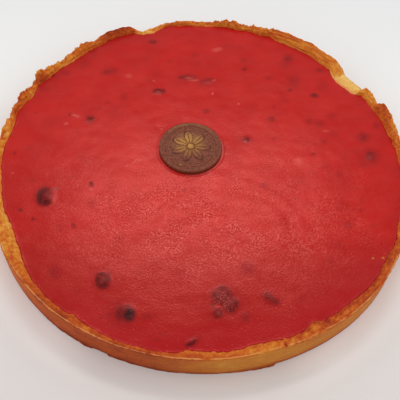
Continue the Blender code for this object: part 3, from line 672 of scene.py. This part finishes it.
bent_x = skin_x + 0.7 * MM * grain(skin, 3.0 * MM, offset=51.0)
bent_y = skin_y + 0.7 * MM * grain(skin, 3.0 * MM, offset=53.0)
random = np.random.default_rng(8)
specks = [  # scattered everywhere, too faint and small to place one by one
    (
        *random.uniform(-120, 120, 2), half * random.uniform(1.0, 1.7), half, 0,
        random.uniform(0.1, 0.4),
    )
    for half in random.uniform(0.6, 1.7, 90)
]
stain_and_highlight_colour = np.tile(linear(STAINS_AND_HIGHLIGHTS[0][0])[:3], (len(skin), 1))
stain_and_highlight_cover, dull = np.zeros(len(skin)), np.zeros(len(skin))
for layer, (colour, softness, spots) in enumerate(STAINS_AND_HIGHLIGHTS + (("#7E1A1E", 1.0, specks),)):
    cover = np.max(
        [
            spot[5] * (1.0 - smooth_step((place_in(spot, bent_x, bent_y) - 1.0) / softness + 0.5))
            for spot in spots
        ],
        axis=0,
    )
    both = cover + stain_and_highlight_cover * (1.0 - cover)
    share = np.where(both > 0.0, cover / np.maximum(both, 1e-6), 0.0)[:, None]
    stain_and_highlight_colour = stain_and_highlight_colour * (1.0 - share) + share * linear(colour)[:3]
    stain_and_highlight_cover = both
    if layer < DULL_STAINS:
        dull = np.maximum(dull, cover)
# Painted highlight: a thin pale arc where the ridge beside the disc catches the light.
sheen_film = 0.42 * bell(from_disc - 0.7 * MM, 0.45 * MM) * within(around, 280, 390, 25)
share = (sheen_film / np.maximum(sheen_film + stain_and_highlight_cover, 1e-6))[:, None]  # painted highlight: a pale arc on the ridge beside the disc, at its front right
stain_and_highlight_colour = stain_and_highlight_colour * (1.0 - share) + share * linear("#E88078")[:3]
stain_and_highlight_cover = np.maximum(stain_and_highlight_cover, sheen_film)
# Where the sugar grain shows, and where sparkle is painted into the colour: around the sheen in
# front of the disc.
band_width = np.where(skin_y > -38 * MM, 43 * MM, 40 * MM)
sugar_and_sparkle = bell(skin_x - 4 * MM, 70 * MM) * bell(skin_y + 38 * MM, band_width)
smoothed = bell(skin_x - 5 * MM, 24 * MM) * bell(skin_y + 13 * MM, 15 * MM)
sugar_and_sparkle *= 1.0 - 0.45 * smoothed  # the ladle's back smoothed it beside the disc
wrinkled = bell(np.hypot(skin_x - 17 * MM, skin_y + 94 * MM), 10 * MM)
sugar_and_sparkle *= 1.06 * (1.0 - 0.6 * stain_and_highlight_cover * (1.0 - wrinkled))
sugar_and_sparkle = np.maximum(sugar_and_sparkle, 0.5 * wrinkled * stain_and_highlight_cover)  # the cream wrinkled over this cluster
rosy = within(bearing, 245, 318, 20) * bell(to_edge, 13 * MM)
# Painted shade: the cream is painted a deeper red toward the front, at the left and beside the rim
# at the back.
painted_shade = 0.92 * smooth_step((-skin_y - 36 * MM) / (44 * MM))
left = smooth_step((-skin_x - 50 * MM) / (30 * MM)) * smooth_step((20 * MM - skin_y) / (40 * MM))
painted_shade = np.maximum(painted_shade, 0.35 * left)
behind = within(bearing, 112, 150, 12) * bell(to_edge, 9 * MM)  # shaded by the rim
painted_shade = np.maximum(painted_shade, 0.55 * behind)
extra = len(cream_points) - len(skin)
colours = np.vstack([np.column_stack([stain_and_highlight_colour, stain_and_highlight_cover]), np.zeros((extra, 4))])
layer = cream.data.attributes.new("stain_and_highlight", "FLOAT_COLOR", "POINT")
layer.data.foreach_set("color", colours.astype(np.float32).ravel())
for name, values in (("dull", dull), ("sugar_and_sparkle", sugar_and_sparkle), ("rosy", rosy), ("painted_shade", painted_shade)):
    paint(cream, name, np.append(values, np.zeros(extra)))

# Set praline cream: butter, cream and red sugar, opaque, with a satin skin that is faintly grainy.
praline, shader = new_material("set_praline_cream")
place = add_node(praline, "TexCoord").outputs["Object"]
stain_and_highlight = add_node(praline, "Attribute", {"attribute_name": "stain_and_highlight"})
dull = add_node(praline, "Attribute", {"attribute_name": "dull"})
sugar_and_sparkle = add_node(praline, "Attribute", {"attribute_name": "sugar_and_sparkle"})
clouds = add_node(  # uneven mixing, 16 mm across
    praline, "TexNoise", inputs={"Vector": place, "Scale": 1 / (16 * MM), "Detail": 3.0}
)
red = add_node(
    praline, "ValToRGB", inputs={"Fac": clouds.outputs["Fac"]},
    stops=((0.3, linear("#B11210")), (0.7, linear("#BE1814"))),
).outputs["Color"]
scraps = add_node(  # skin and flesh of the crushed nuts, 1.6 mm across
    praline, "TexNoise", inputs={"Vector": place, "Scale": 1 / (1.6 * MM), "Detail": 3.0}
)
scraps = add_node(
    praline, "MapRange",
    inputs={
        "Value": scraps.outputs["Fac"], "From Min": 0.3, "From Max": 0.7, "To Min": 0.78,
        "To Max": 1.14,
    },
)
for name, tint in (("painted_shade", "#A01412"), ("rosy", "#A8141A")):
    there = add_node(praline, "Attribute", {"attribute_name": name})
    red = add_node(
        praline, "Mix", {"data_type": "RGBA"}, {0: there.outputs["Fac"], 6: red, 7: linear(tint)}
    ).outputs[2]
seen = add_node(
    praline, "Math", {"operation": "MULTIPLY"},
    {0: stain_and_highlight.outputs["Alpha"], 1: scraps.outputs["Result"]},
)
red_with_stains_and_highlights = add_node(
    praline, "Mix", {"data_type": "RGBA"},
    {0: seen.outputs[0], 6: red, 7: stain_and_highlight.outputs["Color"]},
)
sugar = add_node(  # grains of sugar, 1.7 mm apart
    praline, "TexVoronoi", inputs={"Vector": place, "Scale": 1 / (1.7 * MM)}
)
domed = add_node(
    praline, "MapRange", {"interpolation_type": "SMOOTHSTEP"},
    {
        "Value": sugar.outputs["Distance"], "From Min": 0.05, "From Max": 0.34, "To Min": 1.0,
        "To Max": 0.0,
    },
)
picked = add_node(praline, "SeparateColor", inputs={"Color": sugar.outputs["Color"]})
picked = add_node(
    praline, "MapRange",
    inputs={"Value": picked.outputs["Red"], "From Min": 0.5, "From Max": 0.75},
)
grains = add_node(
    praline, "Math", {"operation": "MULTIPLY"},
    {0: domed.outputs["Result"], 1: picked.outputs["Result"]},
)
patches = add_node(  # the grain lies in patches, 12 mm across
    praline, "TexNoise", inputs={"Vector": place, "Scale": 1 / (12 * MM), "Detail": 3.0}
)
patches = add_node(
    praline, "MapRange",
    inputs={
        "Value": patches.outputs["Fac"], "From Min": 0.40, "From Max": 0.60, "To Min": 0.38,
        "To Max": 1.32,
    },
)
grain_and_sparkle = add_node(
    praline, "Math", {"operation": "MULTIPLY"},
    {0: sugar_and_sparkle.outputs["Fac"], 1: patches.outputs["Result"]},
)
skin_grain = add_node(  # sugar grain, drawn at 0.9 mm so that it shows
    praline, "TexNoise", inputs={"Vector": place, "Scale": 1 / (0.9 * MM), "Detail": 2.0}
)
# Painted sparkle: where the sheen falls, pale glints and darker specks are painted into the colour,
# as well as the grain's bump.
painted_glints = add_node(
    praline, "MapRange",
    inputs={"Value": skin_grain.outputs["Fac"], "From Min": 0.48, "From Max": 0.68, "To Max": 0.62},
)
painted_shade_specks = add_node(
    praline, "MapRange",
    inputs={"Value": skin_grain.outputs["Fac"], "From Min": 0.46, "From Max": 0.32, "To Max": 0.6},
)
painted_shade_specks = add_node(
    praline, "Math", {"operation": "MULTIPLY"},
    {0: painted_shade_specks.outputs["Result"], 1: grain_and_sparkle.outputs[0]},
)
painted_sparkle = add_node(
    praline, "Math", {"operation": "MULTIPLY_ADD"},
    {0: grains.outputs[0], 1: 0.45, 2: painted_glints.outputs["Result"]},
)
painted_sparkle = add_node(
    praline, "Math", {"operation": "MULTIPLY"},
    {0: painted_sparkle.outputs[0], 1: grain_and_sparkle.outputs[0]},
)
with_shade_specks = add_node(  # painted shade: darker red specks between the painted glints
    praline, "Mix", {"data_type": "RGBA"},
    {0: painted_shade_specks.outputs[0], 6: red_with_stains_and_highlights.outputs[2], 7: linear("#8E0E10")},
)
with_painted_sparkle = add_node(
    praline, "Mix", {"data_type": "RGBA"},
    {0: painted_sparkle.outputs[0], 6: with_shade_specks.outputs[2], 7: linear("#E8756A")},
)
relief = add_node(
    praline, "Math", {"operation": "MULTIPLY_ADD"},
    {0: grains.outputs[0], 1: 0.5, 2: skin_grain.outputs["Fac"]},
)
bumpiness = add_node(
    praline, "MapRange",
    inputs={"Value": grain_and_sparkle.outputs[0], "To Min": 0.40, "To Max": 1.0},
)
bump = add_node(
    praline, "Bump",
    inputs={
        "Height": relief.outputs[0], "Distance": 0.20 * MM, "Strength": bumpiness.outputs["Result"],
    },
)
praline.node_tree.links.new(with_painted_sparkle.outputs[2], shader.inputs["Base Color"])
praline.node_tree.links.new(bump.outputs["Normal"], shader.inputs["Normal"])
shader.inputs["Roughness"].default_value = 0.24
shader.inputs["IOR"].default_value = 1.46
duller = add_node(  # the nuts break the smooth film, so they shine less
    praline, "MapRange",
    inputs={"Value": dull.outputs["Fac"], "To Min": 1.0, "To Max": 0.3},
)
squashed = add_node(
    praline, "VectorMath", {"operation": "MULTIPLY"}, {0: place, 1: (1.0, 1.9, 1.0)}
)
sheen_film = add_node(  # the film of fat is uneven, in smears 14 mm long
    praline, "TexNoise",
    inputs={"Vector": squashed.outputs["Vector"], "Scale": 1 / (14 * MM), "Detail": 3.0},
)
sheen_film = add_node(
    praline, "MapRange",
    inputs={
        "Value": sheen_film.outputs["Fac"], "From Min": 0.36, "From Max": 0.60, "To Min": 0.68,
        "To Max": 1.06,
    },
)
shining = add_node(
    praline, "Math", {"operation": "MULTIPLY"},
    {0: duller.outputs["Result"], 1: sheen_film.outputs["Result"]},
)
praline.node_tree.links.new(shining.outputs[0], shader.inputs["Specular IOR Level"])
shader.inputs["Specular Tint"].default_value = (1.0, 0.21, 0.18, 1.0)  # the fat film is red too
cream.data.materials.append(praline)
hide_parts("praline_cream")
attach(cream, "root")

# --------------------------------------------------------------------------------------------
# The chocolate disc: milk chocolate cast in a turned mould, pressed lightly into the cream, with
# gold dust brushed over the rosette in its middle.

DISC_THICKNESS = 3.0 * MM
DISC_SINK = 0.6 * MM
DISC_TURNS, DISC_RINGS = 288, 110
FACE_RADIUS = DISC_RADIUS - 0.9 * MM
FACE_DROP = 0.3  # millimetres that the face lies below its border
RING_STEP = 1.7  # millimetres from one turned ring to the next
# The rosette in millimetres: its petals stand up and have a groove each, round a button
PETALS = 7
PETAL_RISE = 0.6
GROOVE_DEPTH = 0.35
BUTTON_RISE = 0.6
# The rounded edge from the face down, as (millimetres outward, millimetres down, how much painted
# shade it takes)
DISC_EDGE = (
    (-0.5, 0.12, 0.0), (-0.2, 0.42, 0.1), (-0.04, 0.9, 0.5), (0.0, 1.5, 1.0), (-0.06, 2.2, 1.0),
    (-0.25, 2.8, 1.0), (-0.5, (DISC_THICKNESS + DISC_SINK) / MM, 1.0),
)


def over_disc(face, edge=0.0, hub=0.0, base=0.0):
    """A number for each point of the disc: its face, each row of its edge, and its two middles."""
    rows = np.broadcast_to(np.reshape(edge, (-1, 1)), (len(DISC_EDGE), DISC_TURNS))
    return np.concatenate([np.ravel(face), np.ravel(rows), (hub, base)])


_, disc_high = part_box("chocolate_disc")
face_z = disc_high[2]
ring_share = np.linspace(0.0, 1.0, DISC_RINGS + 1)[1:]
turn = np.arange(DISC_TURNS) * 2.0 * math.pi / DISC_TURNS
r, t = np.meshgrid(ring_share * FACE_RADIUS, turn, indexing="ij")
mm_r = r / MM
relief = -FACE_DROP * smooth_step((16.9 - mm_r) / 0.9)
ringed = np.cos(2.0 * math.pi * mm_r / RING_STEP) * smooth_step((18.4 - mm_r) / 0.8)
relief += (0.04 + 0.09 * smooth_step((mm_r - 12.0) / 1.5)) * ringed
petal = np.abs(np.cos(0.5 * PETALS * t)) ** 0.8
petal_out = 4.2 + 8.2 * petal  # how far out the rosette reaches, in millimetres
in_petal = smooth_step(petal_out - mm_r) * smooth_step((mm_r - 3.0) / 0.7)
groove = bell(np.sin(0.5 * PETALS * t) * mm_r, 0.9) * smooth_step(11.0 - mm_r)
relief += PETAL_RISE * in_petal * smooth_step((petal - 0.30) / 0.35)
relief -= GROOVE_DEPTH * in_petal * groove
relief += BUTTON_RISE * smooth_step((2.3 - mm_r) / 0.8)
crease = bell(petal_out - mm_r, 0.55) * smooth_step(mm_r - 3.5)
crease = np.maximum(crease, 0.7 * in_petal * groove)
crease = np.maximum(crease, bell(mm_r - 2.7, 0.4))
face = np.stack([r * np.cos(t), r * np.sin(t), face_z + relief * MM], axis=2)
rows = [face]
for spread, drop, _ in DISC_EDGE:
    radius = DISC_RADIUS + spread * MM + 0.05 * MM * np.sin(3 * turn + spread)
    round_edge = [radius * np.cos(turn), radius * np.sin(turn), 0 * turn + face_z - drop * MM]
    rows.append(np.stack(round_edge, axis=1)[None])
disc_points = np.concatenate(rows).reshape(-1, 3)
hub, base = len(disc_points), len(disc_points) + 1
rings = np.arange(hub).reshape(-1, DISC_TURNS).tolist()
faces = faces_between(rings[::-1])
faces += faces_to_middle(rings[0], hub) + faces_to_middle(rings[-1][::-1], base)
hub_z = face_z + (BUTTON_RISE - FACE_DROP) * MM
base_z = face_z - DISC_THICKNESS - DISC_SINK
disc_points = np.vstack([disc_points, (0, 0, hub_z), (0, 0, base_z)])
disc_points += (DISC_CENTRE[0], DISC_CENTRE[1], 0.0)
disc = mesh_object("cast_chocolate_disc", disc_points, faces)
mm_x, mm_y = ((disc_points[:, :2] - DISC_CENTRE) / MM).T
gold_dust_and_highlight = bell(mm_x + 1.5, 12.0) * bell(mm_y - 3.0, 10.0)
height = over_disc(relief, -1.0, BUTTON_RISE - FACE_DROP, -1.0)
gold_dust_and_highlight *= 0.80 * (0.65 + 0.35 * smooth_step((height + 0.05) / 0.4))
gold_dust_and_highlight *= 1.0 - 0.55 * over_disc(crease)
spread = np.hypot(mm_x, mm_y)
gold_dust_and_highlight += 0.22 * bell(spread, 15.0)
# Painted highlight: a band of gold along the far edge of the disc, where the edge catches the
# light.
gold_dust_and_highlight += 0.34 * smooth_step((mm_y - 2.0) / 14.0) * bell(spread - 18.2, 1.5)
gold_dust_and_highlight += 0.8 * bell(np.hypot(mm_x + 5.4, mm_y + 14.8), 0.8)  # a clump that fell aside
paint(disc, "gold_dust_and_highlight", gold_dust_and_highlight)
# Painted light and shade: the turned rings toward the edge are painted lighter and darker in turn,
# and the creases darker.
painted_shading = 0.07 * ringed * smooth_step((mm_r - 9.0) / 4.0) - 0.26 * crease
paint(disc, "painted_shading", over_disc(painted_shading))
paint(disc, "side", over_disc(0.0 * relief, [edge_shade for _, _, edge_shade in DISC_EDGE], base=1.0))

# Cast milk chocolate: satin from the mould and faintly ringed, with edible gold powder.
chocolate, shader = new_material("cast_milk_chocolate")
place = add_node(chocolate, "TexCoord").outputs["Object"]
gold_dust_and_highlight = add_node(chocolate, "Attribute", {"attribute_name": "gold_dust_and_highlight"})
bloom = add_node(  # fat bloom and rubbed spots, 1.6 mm across
    chocolate, "TexNoise", inputs={"Vector": place, "Scale": 1 / (1.6 * MM), "Detail": 4.0}
)
painted_shading = add_node(chocolate, "Attribute", {"attribute_name": "painted_shading"})
painted_shading = add_node(  # painted light and shade: its raised rings are painted paler and its creases darker, added to the bloom
    chocolate, "Math", {"operation": "ADD"},
    {0: painted_shading.outputs["Fac"], 1: bloom.outputs["Fac"]},
)
brown = add_node(
    chocolate, "ValToRGB", inputs={"Fac": painted_shading.outputs[0]},
    stops=((0.0, linear("#34140C")), (0.32, linear("#62301E")), (0.68, linear("#8C4A34"))),
)
side = add_node(chocolate, "Attribute", {"attribute_name": "side"})
brown = add_node(  # painted shade: the edge is painted a plain darker brown, as it faces away from the light
    chocolate, "Mix", {"data_type": "RGBA"},
    {0: side.outputs["Fac"], 6: brown.outputs["Color"], 7: linear("#6E3424")},
)
powder = add_node(  # clumps of powder, 0.6 mm across
    chocolate, "TexNoise", inputs={"Vector": place, "Scale": 1 / (0.6 * MM), "Detail": 3.0}
)
cover = add_node(
    chocolate, "Math", {"operation": "MULTIPLY"},
    {0: gold_dust_and_highlight.outputs["Fac"], 1: powder.outputs["Fac"]},
)
cover = add_node(
    chocolate, "MapRange",
    inputs={"Value": cover.outputs[0], "From Min": 0.16, "From Max": 0.62},
)
gilded = add_node(
    chocolate, "Mix", {"data_type": "RGBA"},
    {0: cover.outputs["Result"], 6: brown.outputs[2], 7: linear("#C4924A")},
)
shine = add_node(
    chocolate, "Math", {"operation": "MULTIPLY"}, {0: cover.outputs["Result"], 1: 0.5}
)
bump = add_node(
    chocolate, "Bump",
    inputs={"Height": powder.outputs["Fac"], "Distance": 0.06 * MM, "Strength": 0.5},
)
chocolate.node_tree.links.new(gilded.outputs[2], shader.inputs["Base Color"])
chocolate.node_tree.links.new(shine.outputs[0], shader.inputs["Metallic"])
chocolate.node_tree.links.new(bump.outputs["Normal"], shader.inputs["Normal"])
shader.inputs["Roughness"].default_value = 0.5
shader.inputs["Specular IOR Level"].default_value = 0.2
disc.data.materials.append(chocolate)
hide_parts("chocolate_disc")
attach(disc, "root")

# --------------------------------------------------------------------------------------------
# The table: a pale, matt, painted board. It isn't part of the tart.

TABLE_REACH = 3000 * MM  # wide enough to fill the view
table_corners = [
    (x * TABLE_REACH, y * TABLE_REACH, 0) for x, y in ((-1, -1), (1, -1), (1, 1), (-1, 1))
]
table = mesh_object("table", table_corners, [(0, 1, 2, 3)], smooth=False)
painted, shader = new_material("matt_painted_board")
place = add_node(painted, "TexCoord").outputs["Object"]
apart = add_node(painted, "SeparateXYZ", inputs={"Vector": place})
depth = add_node(
    painted, "MapRange",
    inputs={"Value": apart.outputs["Y"], "From Min": -160 * MM, "From Max": 300 * MM},
)
painted_light = add_node(  # painted light and shade: it greys and warms toward the front and is palest near the back of the tart
    painted, "ValToRGB", inputs={"Fac": depth.outputs["Result"]},
    stops=(
        (0.0, linear("#E1DAD7")), (0.30, linear("#EBE6E3")), (0.48, linear("#F3F3F1")),
        (0.62, linear("#EDEDEC")), (0.80, linear("#E5E6E6")), (1.0, linear("#E2E3E4")),
    ),
)
outward = add_node(painted, "VectorMath", {"operation": "LENGTH"}, {0: place})
painted_light_beside_tart = add_node(
    painted, "MapRange", {"interpolation_type": "SMOOTHSTEP"},
    {
        "Value": outward.outputs["Value"], "From Min": 132 * MM, "From Max": 156 * MM,
        "To Min": 0.95, "To Max": 0.0,
    },
)
aside = add_node(painted, "Math", {"operation": "ABSOLUTE"}, {0: apart.outputs["X"]})
for value, start, end in (
    (aside.outputs[0], 45 * MM, 80 * MM), (apart.outputs["Y"], -30 * MM, -70 * MM),
):
    side = add_node(
        painted, "MapRange", {"interpolation_type": "SMOOTHSTEP"},
        {"Value": value, "From Min": start, "From Max": end},
    )
    painted_light_beside_tart = add_node(
        painted, "Math", {"operation": "MULTIPLY"},
        {0: painted_light_beside_tart.outputs[0], 1: side.outputs["Result"]},
    )
painted_light = add_node(  # painted light: paler beside the tart's front, which takes out its shadow there
    painted, "Mix", {"data_type": "RGBA"},
    {0: painted_light_beside_tart.outputs[0], 6: painted_light.outputs["Color"], 7: linear("#FBF5F2")},
)
painted.node_tree.links.new(painted_light.outputs[2], shader.inputs["Base Color"])
shader.inputs["Roughness"].default_value = 0.9
table.data.materials.append(painted)

# --------------------------------------------------------------------------------------------
# Light: a pale room with bright walls at both sides, and a small soft box above and beyond the
# tart, which gives the cream its sheen.

KEY_SPOT = Vector((-20 * MM, 625 * MM, 1024 * MM))
key_light = bpy.data.lights.new("key_light", "AREA")
key_light.shape, key_light.size, key_light.size_y = "RECTANGLE", 520 * MM, 140 * MM
key_light.energy = 2.3
key = bpy.data.objects.new("key_light", key_light)
bpy.context.scene.collection.objects.link(key)
key.location = KEY_SPOT
key.rotation_euler = (-KEY_SPOT).to_track_quat("-Z", "Y").to_euler()  # it faces the tart
world = bpy.data.worlds.new("pale_room")
bpy.context.scene.world = world
world.use_nodes = True
facing = add_node(world, "TexCoord").outputs["Generated"]
glow = 0.0
for toward, tightness, strength in (  # bright walls at the left and right, weaker ones elsewhere
    ((-0.857, 0.0, 0.515), 3.0, 1.47), ((0.857, 0.0, 0.515), 3.0, 1.47),
    ((0.0, 0.995, 0.1), 2.0, 0.66), ((0.0, -0.958, 0.287), 3.0, 0.65),
):
    along = add_node(world, "VectorMath", {"operation": "DOT_PRODUCT"}, {0: facing, 1: toward})
    lobe = add_node(world, "Math", {"operation": "MAXIMUM"}, {0: along.outputs["Value"], 1: 0.0})
    lobe = add_node(world, "Math", {"operation": "POWER"}, {0: lobe.outputs[0], 1: tightness})
    glow = add_node(
        world, "Math", {"operation": "MULTIPLY_ADD"}, {0: lobe.outputs[0], 1: strength, 2: glow}
    ).outputs[0]
world.node_tree.links.new(glow, world.node_tree.nodes["Background"].inputs["Strength"])
world.node_tree.nodes["Background"].inputs["Color"].default_value = (1.0, 1.0, 1.0, 1.0)
bpy.context.scene.view_settings.view_transform = "Standard"

# --------------------------------------------------------------------------------------------
# The camera, above the front edge of the tart. It looks down at the cream through a long lens and
# leans 3 degrees to one side.

CAMERA_SPOT = (-0.07 * MM, -259.63 * MM, 358.12 * MM)
CAMERA_RIGHT = Vector((0.99824, 0.04857, 0.03399))
CAMERA_UP = Vector((-0.05927, 0.82525, 0.56166))
camera_data = bpy.data.cameras.new("camera")
camera_data.sensor_width, camera_data.lens = 36.0, 61.2
camera_data.clip_start = 0.01
camera = bpy.data.objects.new("camera", camera_data)
bpy.context.scene.collection.objects.link(camera)
back = CAMERA_RIGHT.cross(CAMERA_UP)
camera.matrix_world = Matrix.Translation(CAMERA_SPOT) @ Matrix(
    (CAMERA_RIGHT, CAMERA_UP, back)
).transposed().to_4x4()
bpy.context.scene.camera = camera
